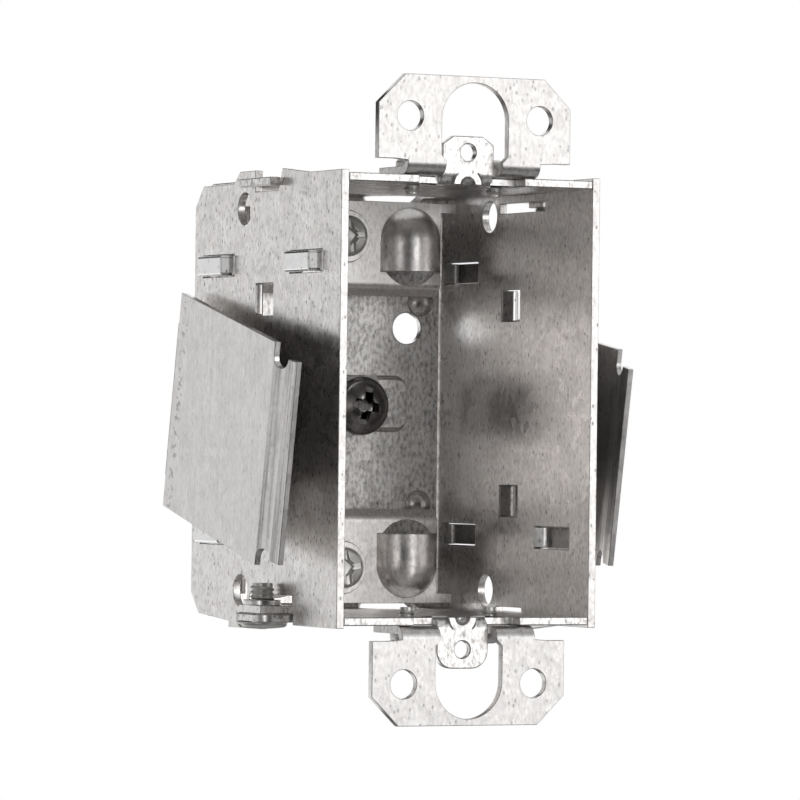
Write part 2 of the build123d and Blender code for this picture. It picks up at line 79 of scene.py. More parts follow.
class SheetSettings(PropertyGroup):
    edge_round: FloatProperty(
        name="Edge round",
        description="Width of the small round along the edges of the folded sheet",
        default=0.11 * mm,
        min=0,
        unit="LENGTH",
        precision=5,
    )
    raised_round: FloatProperty(
        name="Raised round",
        description="Width of the round along the edges of the lanced bridges",
        default=0.55 * mm,
        min=0,
        unit="LENGTH",
        precision=5,
    )
    edge_angle: FloatProperty(
        name="Edge angle",
        description="Edges sharper than this are rounded",
        default=radians(55),
        subtype="ANGLE",
    )
    frame_zinc: FloatVectorProperty(
        name="Frame zinc",
        description="Colour of the folded frame",
        subtype="COLOR",
        size=3,
        min=0,
        max=1,
        default=(0.86, 0.836, 0.82),
    )
    plate_zinc: FloatVectorProperty(
        name="Side plate zinc",
        description="Colour of the side plates",
        subtype="COLOR",
        size=3,
        min=0,
        max=1,
        default=(0.93, 0.904, 0.886),
    )
    spring_zinc: FloatVectorProperty(
        name="Spring clip zinc",
        description="Colour of the spring clips",
        subtype="COLOR",
        size=3,
        min=0,
        max=1,
        default=(0.80, 0.778, 0.763),
    )
    ear_zinc: FloatVectorProperty(
        name="Ear zinc",
        description="Colour of the plaster ears",
        subtype="COLOR",
        size=3,
        min=0,
        max=1,
        default=(0.69, 0.673, 0.661),
    )
    clamp_zinc: FloatVectorProperty(
        name="Clamp zinc",
        description="Colour of the cable clamps",
        subtype="COLOR",
        size=3,
        min=0,
        max=1,
        default=(0.95, 0.92, 0.90),
    )
    sheared: FloatVectorProperty(
        name="Sheared edge",
        description="Colour of the bright line along a sheared or rubbed edge",
        subtype="COLOR",
        size=3,
        min=0,
        max=1,
        default=(0.53, 0.517, 0.505),
    )


class ScrewSettings(PropertyGroup):
    thread_steps: IntProperty(
        name="Steps in a turn",
        description="Points in one turn of a thread",
        default=28,
        min=8,
        max=64,
    )
    thread_pitch: FloatProperty(
        name="Thread pitch",
        description="Rise of the coarse thread in one turn",
        default=0.794 * mm,
        unit="LENGTH",
        precision=5,
    )
    thread_depth: FloatProperty(
        name="Thread depth",
        description="Height of a thread over the core of the screw",
        default=0.36 * mm,
        unit="LENGTH",
        precision=5,
    )
    bright_zinc: FloatVectorProperty(
        name="Bright zinc",
        description="Colour of the plated screws",
        subtype="COLOR",
        size=3,
        min=0,
        max=1,
        default=(0.86, 0.85, 0.83),
    )
    dark_steel: FloatVectorProperty(
        name="Dark steel",
        description="Colour of the dark ground screw",
        subtype="COLOR",
        size=3,
        min=0,
        max=1,
        default=(0.20, 0.19, 0.185),
    )
    wire_plate: FloatVectorProperty(
        name="Wire plate",
        description="Colour of the plate under the ground screw",
        subtype="COLOR",
        size=3,
        min=0,
        max=1,
        default=(0.42, 0.41, 0.40),
    )


class StageSettings(PropertyGroup):
    lens: FloatProperty(
        name="Lens",
        description="Focal length of the camera in millimetres",
        default=249.58,
    )
    key_power: FloatProperty(
        name="Key power",
        description="Power of the tall strip lamp at the front right",
        default=3.1,
        unit="POWER",
    )
    right_power: FloatProperty(
        name="Right power",
        description="Power of the broad lamp at the right",
        default=0.31,
        unit="POWER",
    )
    far_right_power: FloatProperty(
        name="Far right power",
        description="Power of the strip lamp at the far right, which reaches the inner walls",
        default=0.36,
        unit="POWER",
    )
    side_power: FloatProperty(
        name="Side power",
        description="Power of the strip lamp at the left of the camera",
        default=0.88,
        unit="POWER",
    )
    ambient: FloatProperty(
        name="Ambient",
        description="Strength of the white surroundings for soft light",
        default=0.45,
        min=0,
        max=1,
        subtype="FACTOR",
    )
    floor_colour: FloatVectorProperty(
        name="Floor",
        description="Colour of the pale floor",
        subtype="COLOR",
        size=3,
        min=0,
        max=1,
        default=(0.86, 0.86, 0.86),
    )


# Shader helpers


def socket_in(tree, name, kind, default):
    entry = tree.interface.new_socket(name, in_out="INPUT", socket_type=kind)
    entry.default_value = default


def socket_out(tree, name, kind):
    tree.interface.new_socket(name, in_out="OUTPUT", socket_type=kind)


def link(tree, source, target):
    tree.links.new(source, target)


def math_node(tree, operation, first, second):
    """Math node; each operand is a socket or a number."""
    node = tree.nodes.new("ShaderNodeMath")
    node.operation = operation
    for slot, operand in enumerate((first, second)):
        if isinstance(operand, (int, float)):
            node.inputs[slot].default_value = operand
        else:
            link(tree, operand, node.inputs[slot])
    return node.outputs[0]


def plus(tree, first, second):
    return math_node(tree, "ADD", first, second)


def minus(tree, first, second):
    return math_node(tree, "SUBTRACT", first, second)


def times(tree, first, second):
    return math_node(tree, "MULTIPLY", first, second)


def stretched(tree, vector, scale):
    """The vector with each of its axes multiplied."""
    node = tree.nodes.new("ShaderNodeVectorMath")
    node.operation = "MULTIPLY"
    node.inputs[1].default_value = scale
    link(tree, vector, node.inputs[0])
    return node.outputs[0]


def along(tree, vector, direction, start):
    """Distance along a direction from a start."""
    node = tree.nodes.new("ShaderNodeVectorMath")
    node.operation = "DOT_PRODUCT"
    node.inputs[1].default_value = direction
    link(tree, vector, node.inputs[0])
    return minus(tree, node.outputs["Value"], start)


def noise(tree, vector, scale, detail):
    node = tree.nodes.new("ShaderNodeTexNoise")
    node.inputs["Scale"].default_value = scale
    node.inputs["Detail"].default_value = detail
    link(tree, vector, node.inputs["Vector"])
    return node.outputs["Fac"]


def flat_noise(tree, x, y, scales, detail):
    """Noise over two distances, each with a scale of its own."""
    spot = tree.nodes.new("ShaderNodeCombineXYZ")
    link(tree, times(tree, x, scales[0]), spot.inputs["X"])
    link(tree, times(tree, y, scales[1]), spot.inputs["Y"])
    return noise(tree, spot.outputs[0], 1.0, detail)


def cells(tree, vector, scale):
    """Voronoi cells: distance to the middle of a cell and two random values for it."""
    node = tree.nodes.new("ShaderNodeTexVoronoi")
    node.inputs["Scale"].default_value = scale
    link(tree, vector, node.inputs["Vector"])
    split = tree.nodes.new("ShaderNodeSeparateColor")
    link(tree, node.outputs["Color"], split.inputs[0])
    return node.outputs["Distance"], split.outputs[0], split.outputs[1]


def between(tree, value, low, high):
    """Ramps a value to 0 at low and 1 at high, with soft ends."""
    node = tree.nodes.new("ShaderNodeMapRange")
    node.interpolation_type = "SMOOTHSTEP"
    node.inputs["From Min"].default_value = low
    node.inputs["From Max"].default_value = high
    link(tree, value, node.inputs["Value"])
    return node.outputs["Result"]


def band(tree, value, zone, soft):
    """One in a zone between two values and nought outside it, with soft ends."""
    low, high = zone
    rise = between(tree, value, low - soft, low + soft)
    fall = between(tree, value, high + soft, high - soft)
    return times(tree, rise, fall)


def centred(tree, value, amount):
    """A value round a half, moved to round nought and multiplied by an amount."""
    return times(tree, minus(tree, value, 0.5), amount)


# Zinc skin: crystals, fine grain, rolling streaks, short pits and cloudy patches

skin_words = ("Crystals", "Grain", "Streaks", "Pits", "Clouds")
crystal_scale = 520
grain_scale = 1700
grain_stretch = (1.0, 1.0, 0.55)
streak_scale = 900
streak_stretch = (1.0, 1.0, 0.07)
pit_scale = 1250
pit_stretch = (1.0, 1.0, 0.6)
pit_rim = 0.36
pit_bottom = 0.12
pit_share = 0.75
cloud_scale = 48
crystal_gloss_amount = 0.10
cloud_gloss_amount = 0.16
grain_height = 0.35
streak_height = 0.3
pit_height = 0.3
crystal_height = 0.2


def zinc_skin():
    tree = bpy.data.node_groups.new("zinc_skin", "ShaderNodeTree")
    socket_in(tree, "Vector", "NodeSocketVector", (0, 0, 0))
    for word in skin_words:
        socket_in(tree, word, "NodeSocketFloat", 0.0)
    for word in ("Shade", "Gloss", "Height"):
        socket_out(tree, word, "NodeSocketFloat")
    start = tree.nodes.new("NodeGroupInput").outputs
    end = tree.nodes.new("NodeGroupOutput").inputs
    vector = start["Vector"]

    crystal_far, crystal_tone, crystal_gloss = cells(tree, vector, crystal_scale)
    grain = noise(tree, stretched(tree, vector, grain_stretch), grain_scale, detail=3)
    streak = noise(tree, stretched(tree, vector, streak_stretch), streak_scale, detail=2)
    cloud = noise(tree, vector, cloud_scale, detail=4)
    pit_far, pit_pick, pit_depth = cells(tree, stretched(tree, vector, pit_stretch), pit_scale)
    near_pit = between(tree, pit_far, pit_rim, pit_bottom)
    chosen = math_node(tree, "LESS_THAN", pit_pick, pit_share)
    pit = times(tree, times(tree, near_pit, chosen), pit_depth)

    shade = centred(tree, crystal_tone, start["Crystals"])
    shade = plus(tree, shade, centred(tree, grain, start["Grain"]))
    shade = plus(tree, shade, centred(tree, streak, start["Streaks"]))
    shade = plus(tree, shade, centred(tree, cloud, start["Clouds"]))
    shade = minus(tree, shade, times(tree, pit, start["Pits"]))
    link(tree, plus(tree, shade, 1.0), end["Shade"])

    gloss = centred(tree, crystal_gloss, crystal_gloss_amount)
    gloss = plus(tree, gloss, centred(tree, cloud, cloud_gloss_amount))
    link(tree, gloss, end["Gloss"])

    height = times(tree, grain, grain_height)
    height = plus(tree, height, times(tree, streak, streak_height))
    height = minus(tree, height, times(tree, pit, pit_height))
    height = plus(tree, height, times(tree, crystal_far, crystal_height))
    link(tree, height, end["Height"])
    return tree


def marks_tree(name):
    """New node group from a place to a shade: the tree, the place and the end of the group."""
    tree = bpy.data.node_groups.new(name, "ShaderNodeTree")
    socket_in(tree, "Vector", "NodeSocketVector", (0, 0, 0))
    socket_out(tree, "Shade", "NodeSocketFloat")
    vector = tree.nodes.new("NodeGroupInput").outputs["Vector"]
    end = tree.nodes.new("NodeGroupOutput").inputs
    return tree, vector, end


# Painted light on the side plates: a painted highlight on the raised bridges, painted shade in their
# pockets and on the front edge

half_gang = 23.02 * mm
plate_face = 24.42 * mm
bridge_zone = 27 * mm
# Painted highlight: the tops of the raised bridges, between these two heights over the plate face, are made
# lighter by this share
bridge_highlight_start = plate_face + 0.3 * mm
bridge_highlight_end = plate_face + 1.6 * mm
bridge_highlight = 0.30
pocket_start = 4 * mm
pocket_wall = (half_gang + 0.15 * mm, plate_face - 0.10 * mm)
pocket_wall_soft = 0.05 * mm
pocket_floor = (plate_face + 0.15 * mm, plate_face + 0.70 * mm)
pocket_floor_soft = 0.08 * mm
# Painted shade: the pocket walls and floors behind the bridges are made darker by this share
pocket_painted_shade = -0.58
# Painted shade: the front edge faces, in front of this depth, are made darker by this share
rim_back = -1.45 * mm
rim_painted_shade = -0.2


def plate_marks():
    tree, vector, end = marks_tree("plate_marks")
    split = tree.nodes.new("ShaderNodeSeparateXYZ")
    link(tree, vector, split.inputs[0])
    back = split.outputs["Y"]
    out = math_node(tree, "ABSOLUTE", split.outputs["X"], 0)
    rise = math_node(tree, "ABSOLUTE", split.outputs["Z"], 0)
    inside = math_node(tree, "LESS_THAN", rise, bridge_zone)
    # Painted highlight on the tops of the raised bridges
    raised = between(tree, out, bridge_highlight_start, bridge_highlight_end)
    highlit = times(tree, times(tree, raised, inside), bridge_highlight)

    # Painted shade on the pocket walls and floors behind the bridges
    wall = band(tree, out, pocket_wall, pocket_wall_soft)
    floor = band(tree, out, pocket_floor, pocket_floor_soft)
    behind_rim = math_node(tree, "GREATER_THAN", back, pocket_start)
    pocket = times(tree, plus(tree, wall, floor), times(tree, inside, behind_rim))
    painted_pocket_shade = times(tree, pocket, pocket_painted_shade)
    # Painted shade on the front edge faces
    rim = math_node(tree, "LESS_THAN", back, rim_back)
    painted_rim_shade = times(tree, rim, rim_painted_shade)
    shade = plus(tree, plus(tree, highlit, painted_pocket_shade), painted_rim_shade)
    link(tree, plus(tree, shade, 1.0), end["Shade"])
    return tree


# Marks and painted light on the spring clips: nicks beside the fold and lines on the lip, a painted
# highlight along the lip crease and painted shade at the lip bend

clip_tilt = radians(10.5)
clip_forward = (0, -cos(clip_tilt), -sin(clip_tilt))
clip_up = (0, -sin(clip_tilt), cos(clip_tilt))
fold_y = 58.5 * mm
nick_scales = (420, 950)
nick_low = 0.53
nick_high = 0.62
nick_zone = (2.0 * mm, 4.6 * mm)
nick_soft = 0.7 * mm
nick_shade = -0.42
line_scales = (1500, 40)
line_amount = 2.0
lip_start = 50.9 * mm
lip_soft = 0.4 * mm
# Painted shade: a dark line where the lip bends off the wing
bend_zone = (lip_start, lip_start + 0.3 * mm)
bend_painted_shade = -0.26
# Painted highlight: a light line along the crease of the lip
crease_start = 53.8 * mm
crease_zone = (crease_start, crease_start + 0.5 * mm)
crease_painted_highlight = 0.42
crease_soft = 0.3 * mm


def wing_marks():
    tree, vector, end = marks_tree("wing_marks")
    forward = along(tree, vector, clip_forward, clip_forward[1] * fold_y)
    rise = along(tree, vector, clip_up, clip_up[1] * fold_y)

    nick = flat_noise(tree, forward, rise, nick_scales, detail=1)
    nick = between(tree, nick, nick_low, nick_high)
    beside_fold = band(tree, forward, nick_zone, nick_soft)
    nicks = times(tree, times(tree, nick, beside_fold), nick_shade)

    line = flat_noise(tree, forward, rise, line_scales, detail=2)
    on_lip = between(tree, forward, lip_start - lip_soft, lip_start + lip_soft)
    lines = times(tree, centred(tree, line, line_amount), on_lip)
    # A painted highlight along the lip crease and painted shade along the lip bend
    painted_crease = times(tree, band(tree, forward, crease_zone, crease_soft), crease_painted_highlight)
    painted_bend = times(tree, band(tree, forward, bend_zone, crease_soft), bend_painted_shade)

    shade = plus(tree, nicks, lines)
    shade = plus(tree, shade, painted_crease)
    shade = plus(tree, shade, painted_bend)
    link(tree, plus(tree, shade, 1.0), end["Shade"])
    return tree


# Finishes: each metal has its colour, the skin and, where it has any, its marks and painted light

relief_depth = 0.05 * mm


def group_node(tree, group, vector):
    node = tree.nodes.new("ShaderNodeGroup")
    node.node_tree = group
    link(tree, vector, node.inputs["Vector"])
    return node


def metal(name, colour, roughness, bump, skin, amounts, marks_and_painted_light=None):
    """Zinc-coated steel: one colour varied by the shared skin and, where given, by marks and painted light.
    """
    material = bpy.data.materials.new(name)
    material.use_nodes = True
    material.diffuse_color = (*colour, 1)
    tree = material.node_tree
    shader = tree.nodes["Principled BSDF"]
    shader.inputs["Metallic"].default_value = 1.0
    place = tree.nodes.new("ShaderNodeTexCoord").outputs["Object"]
    group = group_node(tree, skin, place)
    for word, amount in zip(skin_words, amounts):
        group.inputs[word].default_value = amount
    shade = group.outputs["Shade"]
    if marks_and_painted_light:
        shade = times(tree, shade, group_node(tree, marks_and_painted_light, place).outputs["Shade"])
    tint = tree.nodes.new("ShaderNodeMix")
    tint.data_type = "RGBA"
    tint.blend_type = "MULTIPLY"
    tint.inputs["Factor"].default_value = 1.0
    tint.inputs["A"].default_value = (*colour, 1)
    link(tree, shade, tint.inputs["B"])
    link(tree, tint.outputs["Result"], shader.inputs["Base Color"])
    rough = plus(tree, group.outputs["Gloss"], roughness)
    link(tree, rough, shader.inputs["Roughness"])
    relief = tree.nodes.new("ShaderNodeBump")
    relief.inputs["Strength"].default_value = bump
    relief.inputs["Distance"].default_value = relief_depth
    link(tree, group.outputs["Height"], relief.inputs["Height"])
    link(tree, relief.outputs["Normal"], shader.inputs["Normal"])
    return material


def finishes():
    """All finishes of the part, made once; a row has colour, roughness, bump and skin amounts."""
    if "zinc_skin" in bpy.data.node_groups:
        return bpy.data.materials
    skin = zinc_skin()
    sheet = bpy.context.scene.box_sheet
    screws = bpy.context.scene.box_screws
    rows = (
        ("frame_zinc", sheet.frame_zinc, 0.31, 0.15, (0.20, 2.2, 0.16, 0.30, 0.22)),
        ("ear_zinc", sheet.ear_zinc, 0.30, 0.28, (0.04, 0.7, 0.14, 0.40, 0.20)),
        ("clamp_zinc", sheet.clamp_zinc, 0.36, 0.15, (0.06, 0.9, 0.10, 0.25, 0.20)),
        ("sheared_edge", sheet.sheared, 0.30, 0.20, (0.05, 0.5, 0.20, 0.10, 0.12)),
        ("screw_zinc", screws.bright_zinc, 0.22, 0.20, (0.05, 0.5, 0.04, 0.20, 0.20)),
        ("wire_plate", screws.wire_plate, 0.28, 0.25, (0.10, 0.8, 0.06, 0.30, 0.30)),
        ("dark_steel", screws.dark_steel, 0.28, 0.20, (0.10, 0.8, 0.06, 0.30, 0.40)),
    )
    for name, colour, roughness, bump, amounts in rows:
        metal(name, colour, roughness, bump, skin, amounts)
    # The plate finish carries a painted highlight on the bridges and painted shade in their pockets and on
    # the front edge; the spring finish carries a painted highlight on the lip crease and painted shade at
    # the lip bend
    metal("plate_zinc", sheet.plate_zinc, 0.29, 0.15, skin, (0.04, 0.9, 0.16, 0.60, 0.18), plate_marks())
    metal("spring_zinc", sheet.spring_zinc, 0.32, 0.28, skin, (0.03, 0.5, 0.24, 0.25, 0.20), wing_marks())
    return bpy.data.materials


# Folded sheet: a copy of each solid with whole faces and softened edges

join_distance = 0.001 * mm
raised_angle = radians(20)
raised_segments = 4
edge_segments = 2
flat_cosine = cos(radians(0.5))
smooth_cosine = cos(radians(50))


def new_object(name, data):
    item = bpy.data.objects.new(name, data)
    bpy.context.scene.collection.objects.link(item)
    return item


def object_from(name, shape):
    """New object with the mesh of a finished shape."""
    mesh = bpy.data.meshes.new(name)
    shape.to_mesh(mesh)
    shape.free()
    return new_object(name, mesh)


def drop(piece):
    """Removes an object and its mesh."""
    mesh = piece.data
    bpy.data.objects.remove(piece)
    bpy.data.meshes.remove(mesh)


def made_plain(piece):
    """Replaces the mesh of an object by its evaluated one and clears its modifiers."""
    bpy.context.view_layer.update()
    graph = bpy.context.evaluated_depsgraph_get()
    made = bpy.data.meshes.new_from_object(piece.evaluated_get(graph), depsgraph=graph)
    old = piece.data
    piece.modifiers.clear()
    piece.data = made
    bpy.data.meshes.remove(old)
    made.name = piece.name
    return piece


def body_of_node(node):
    return frame["nodes"][node]["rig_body"]


def finish_piece(piece, slot, *nodes):
    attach(piece, body_of_node(nodes[0]))
    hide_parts(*nodes)
    return piece


def merged_copy(node, raised=None):
    """The node's mesh with its triangles joined; sharp edges that a test finds raised are marked."""
    mesh = frame["nodes"][node].data.copy()
    mesh.materials.clear()
    shape = bmesh.new()
    shape.from_mesh(mesh)
    bmesh.ops.remove_doubles(shape, verts=shape.verts, dist=join_distance)
    for face in shape.faces:
        face.smooth = True
        face.material_index = 0
    weights = shape.edges.layers.float.new("bevel_weight_edge")
    for edge in shape.edges:
        sharp = edge.calc_face_angle(0) > raised_angle
        if raised and sharp and raised(*[end.co for end in edge.verts]):
            edge[weights] = 1.0
    shape.to_mesh(mesh)
    shape.free()
    return mesh


def flat_regions(shape):
    """Number of the flat region of each face, and the area of each region in square millimetres."""
    region = {}
    areas = []
    for face in shape.faces:
        if face in region:
            continue
        number = len(areas)
        areas.append(0.0)
        region[face] = number
        waiting = [face]
        while waiting:
            one = waiting.pop()
            areas[number] += one.calc_area() / mm ** 2
            for edge in one.edges:
                for other in edge.link_faces:
                    if other not in region and other.normal.dot(one.normal) > flat_cosine:
                        region[other] = number
                        waiting.append(other)
    return region, areas


def keep_flats(mesh):
    """Sets normals that keep flat faces flat and run folds and edge rounds smoothly into them."""
    shape = bmesh.new()
    shape.from_mesh(mesh)
    region, areas = flat_regions(shape)
    normals = []
    for face in shape.faces:
        for corner in face.loops:
            near = {}
            for other in corner.vert.link_faces:
                if other.normal.dot(face.normal) > smooth_cosine:
                    near[region[other]] = other.normal
            total = sum((normal * areas[number] ** 2 for number, normal in near.items()), Vector())
            normals.append(total.normalized())
    shape.free()
    mesh.normals_split_custom_set(normals)


back_wall_start = 54.05 * mm
back_edge = (half_gang - 0.3 * mm, half_gang + 0.1 * mm)
light_gap = 0.25 * mm


def open_back_gaps(mesh):
    """Draws the long edges of the back wall in by a hair, so that light comes past them."""
    low, high = back_edge
    for vertex in mesh.vertices:
        place = vertex.co
        if low < abs(place.x) < high and place.y > back_wall_start:
            place.x -= light_gap if place.x > 0 else -light_gap


def keep_inside(mesh, node):
    """Draws in the corner points that rounding or cutting has pushed past the solid's own box."""
    low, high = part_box(node)
    for vertex in mesh.vertices:
        vertex.co = [min(max(value, a), b) for value, a, b in zip(vertex.co, low, high)]


def add_round(piece, name, width, segments):
    """Bevel with its full width also where edges lie close together."""
    bevel = piece.modifiers.new(name, "BEVEL")
    bevel.width = width
    bevel.segments = segments
    bevel.use_clamp_overlap = False
    bevel.loop_slide = False
    return bevel


def round_edges(piece, width, angle):
    """Bevel of all edges that are sharper than an angle."""
    bevel = add_round(piece, "edge_round", width, edge_segments)
    bevel.limit_method = "ANGLE"
    bevel.angle_limit = angle
    return bevel


def soften(node, name, finish, slot, wider=1.0, raised=None, change=None):
    """Dresses a node with a copy that has rounded edges, wider ones where a test finds them raised."""
    sheet = bpy.context.scene.box_sheet
    materials = finishes()
    piece = new_object(name, merged_copy(node, raised))
    if change:
        change(piece.data)
    piece.data.materials.append(materials[finish])
    piece.data.materials.append(materials["sheared_edge"])
    if raised:
        pillow = add_round(piece, "raised_round", sheet.raised_round, raised_segments)
        pillow.limit_method = "WEIGHT"
    bevel = round_edges(piece, sheet.edge_round * wider, sheet.edge_angle)
    bevel.material = 1
    made_plain(piece)
    keep_inside(piece.data, node)
    keep_flats(piece.data)
    return finish_piece(piece, slot, node)


class BOX_OT_frame(Operator):
    """Dress the folded box frame"""

    bl_idname = "switch_box.frame"
    bl_label = "Box frame"

    def execute(self, context):
        soften("box_frame", "frame_sheet", "frame_zinc", "frame_sheet", wider=1.8, change=open_back_gaps)
        return {"FINISHED"}


bridge_foot = plate_face - 0.01 * mm
bridge_top = plate_face + 1.0 * mm


def on_bridge(one, two):
    """Tells whether an edge of a side plate stands out on one of its lanced bridges."""
    low, high = sorted((abs(one.x), abs(two.x)))
    return low > bridge_foot and high > bridge_top and abs(one.z) < bridge_zone


class BOX_OT_side_plates(Operator):
    """Dress the two removable side plates"""

    bl_idname = "switch_box.side_plates"
    bl_label = "Side plates"

    def execute(self, context):
        for side in ("left", "right"):
            node = side + "_side_plate"
            soften(node, side + "_plate_sheet", "plate_zinc", "plate_sheet", raised=on_bridge)
        return {"FINISHED"}


class BOX_OT_spring_clips(Operator):
    """Dress the leaf and the wing of each spring clip"""

    bl_idname = "switch_box.spring_clips"
    bl_label = "Spring clips"

    def execute(self, context):
        for side in ("left", "right"):
            for part in ("leaf", "wing"):
                soften(side + "_spring_" + part, side + "_clip_" + part, "spring_zinc", "spring_sheet")
        return {"FINISHED"}


class BOX_OT_plaster_ears(Operator):
    """Dress the two plaster ears"""

    bl_idname = "switch_box.plaster_ears"
    bl_label = "Plaster ears"

    def execute(self, context):
        for end in ("top", "bottom"):
            soften(end + "_plaster_ear", end + "_ear_sheet", "ear_zinc", "ear_sheet")
        return {"FINISHED"}


class BOX_OT_cable_clamps(Operator):
    """Dress the two cable clamps"""

    bl_idname = "switch_box.cable_clamps"
    bl_label = "Cable clamps"

    def execute(self, context):
        for end in ("top", "bottom"):
            soften(end + "_cable_clamp", end + "_clamp_sheet", "clamp_zinc", "clamp_sheet")
        return {"FINISHED"}


# Screws: a turned head with its recess, and a threaded shank from a node tree

dome_steps = 6
rim_steps = 6
head_round = 0.06 * mm
head_edge_angle = radians(50)
half_ridge_share = 0.46
smooth_angle = radians(30)


def lathe(name, profile, steps):
    """Closed turned shape about Z; the profile runs from the axis outwards and back to the axis."""
    shape = bmesh.new()
    rings = []
    for radius, z in profile:
        if radius == 0:
            rings.append([shape.verts.new((0, 0, z))])
            continue
        turns = [2 * pi * step / steps for step in range(steps)]
        rings.append([shape.verts.new((radius * cos(turn), radius * sin(turn), z)) for turn in turns])
    for low, high in zip(rings, rings[1:]):
        for step in range(steps):
            after = (step + 1) % steps
            if len(low) == 1:
                shape.faces.new((low[0], high[step], high[after]))
            elif len(high) == 1:
                shape.faces.new((low[step], high[0], low[after]))
            else:
                shape.faces.new((low[step], high[step], high[after], low[after]))
    bmesh.ops.recalc_face_normals(shape, faces=shape.faces)
    return object_from(name, shape)


def tapered_cut(name, outline, top, bottom, shrink):
    """Cutter with an outline at its top and the same outline, made smaller, at its bottom."""
    shape = bmesh.new()
    upper = [shape.verts.new((x, y, top)) for x, y in outline]
    lower = [shape.verts.new((x * shrink, y * shrink, bottom)) for x, y in outline]
    shape.faces.new(upper)
    shape.faces.new(lower[::-1])
    count = len(outline)
    for index in range(count):
        after = (index + 1) % count
        shape.faces.new((upper[index], lower[index], lower[after], upper[after]))
    bmesh.ops.recalc_face_normals(shape, faces=shape.faces)
    return object_from(name, shape)


def turned(points, angle):
    return [(x * cos(angle) - y * sin(angle), x * sin(angle) + y * cos(angle)) for x, y in points]


def rectangle(length, width):
    x = length / 2
    y = width / 2
    return [(-x, -y), (x, -y), (x, y), (-x, y)]


def cross(length, width):
    """Outline of a cross with four equal arms."""
    arm = [(length / 2, -width / 2), (length / 2, width / 2), (width / 2, width / 2)]
    points = []
    for quarter in range(4):
        points += turned(arm, quarter * pi / 2)
    return points


def rounded_head(radius, height, crown, edge):
    """Half section of a head from its middle down: a domed top, a round rim and a flat underside."""
    rim_z = height - crown
    corner = radius - edge
    dome = (corner ** 2 + crown ** 2) / (2 * crown)
    points = [(0, height)]
    for step in range(1, dome_steps + 1):
        x = corner * step / dome_steps
        points.append((x, height - dome + (dome ** 2 - x ** 2) ** 0.5))
    for step in range(1, rim_steps + 1):
        turn = radians(90 - 90 * step / rim_steps)
        points.append((corner + edge * cos(turn), rim_z - edge + edge * sin(turn)))
    points += [(radius, 0.0), (0, 0.0)]
    return points


def cut_head(head, cutters):
    """Cuts recesses into a head, rounds its edges and removes the cutters."""
    for cutter in cutters:
        cut = head.modifiers.new(cutter.name, "BOOLEAN")
        cut.operation = "DIFFERENCE"
        cut.solver = "EXACT"
        cut.object = cutter
    round_edges(head, head_round, head_edge_angle)
    made_plain(head)
    for cutter in cutters:
        drop(cutter)
    return head


def moved_up(tree, geometry, height):
    """The geometry moved along Z."""
    place = tree.nodes.new("ShaderNodeCombineXYZ")
    link(tree, height, place.inputs["Z"])
    moved = tree.nodes.new("GeometryNodeTransform")
    link(tree, geometry, moved.inputs["Geometry"])
    link(tree, place.outputs[0], moved.inputs["Translation"])
    return moved.outputs["Geometry"]


def core_nodes(tree, start, core_radius):
    """Plain core of a shank, from Z 0 down."""
    core = tree.nodes.new("GeometryNodeMeshCylinder")
    link(tree, start["Steps"], core.inputs["Vertices"])
    link(tree, core_radius, core.inputs["Radius"])
    link(tree, start["Length"], core.inputs["Depth"])
    return moved_up(tree, core.outputs["Mesh"], times(tree, start["Length"], -0.5))


def thread_nodes(tree, start, core_radius):
    """Thread round the core: a kite-shaped ridge along a spiral."""
    thread_length = minus(tree, start["Length"], start["Pitch"])
    spiral = tree.nodes.new("GeometryNodeCurveSpiral")
    link(tree, start["Steps"], spiral.inputs["Resolution"])
    link(tree, math_node(tree, "DIVIDE", thread_length, start["Pitch"]), spiral.inputs["Rotations"])
    link(tree, core_radius, spiral.inputs["Start Radius"])
    link(tree, core_radius, spiral.inputs["End Radius"])
    link(tree, thread_length, spiral.inputs["Height"])
    upright = tree.nodes.new("GeometryNodeSetCurveNormal")
    upright.mode = "Z_UP"
    link(tree, spiral.outputs["Curve"], upright.inputs["Curve"])
    ridge = tree.nodes.new("GeometryNodeCurvePrimitiveQuadrilateral")
    ridge.mode = "KITE"
    half_ridge = times(tree, start["Pitch"], half_ridge_share)
    link(tree, times(tree, half_ridge, 2.0), ridge.inputs["Width"])
    link(tree, start["Thread depth"], ridge.inputs["Bottom Height"])
    link(tree, start["Thread depth"], ridge.inputs["Top Height"])
    thread = tree.nodes.new("GeometryNodeCurveToMesh")
    thread.inputs["Fill Caps"].default_value = True
    link(tree, upright.outputs["Curve"], thread.inputs["Curve"])
    link(tree, ridge.outputs["Curve"], thread.inputs["Profile Curve"])
    low_end = times(tree, start["Length"], -1.0)
    return moved_up(tree, thread.outputs["Mesh"], plus(tree, low_end, half_ridge))


def row_nodes(tree, start, screw):
    """Equal screws in a row along X, as one mesh with one material."""
    gap = tree.nodes.new("ShaderNodeCombineXYZ")
    link(tree, start["Spacing"], gap.inputs["X"])
    row = tree.nodes.new("GeometryNodeMeshLine")
    link(tree, start["Count"], row.inputs["Count"])
    link(tree, gap.outputs[0], row.inputs["Offset"])
    placed = tree.nodes.new("GeometryNodeInstanceOnPoints")
    link(tree, row.outputs["Mesh"], placed.inputs["Points"])
    link(tree, screw, placed.inputs["Instance"])
    real = tree.nodes.new("GeometryNodeRealizeInstances")
    link(tree, placed.outputs["Instances"], real.inputs["Geometry"])
    dressed = tree.nodes.new("GeometryNodeSetMaterial")
    link(tree, real.outputs["Geometry"], dressed.inputs["Geometry"])
    link(tree, start["Material"], dressed.inputs["Material"])
    return dressed.outputs["Geometry"]


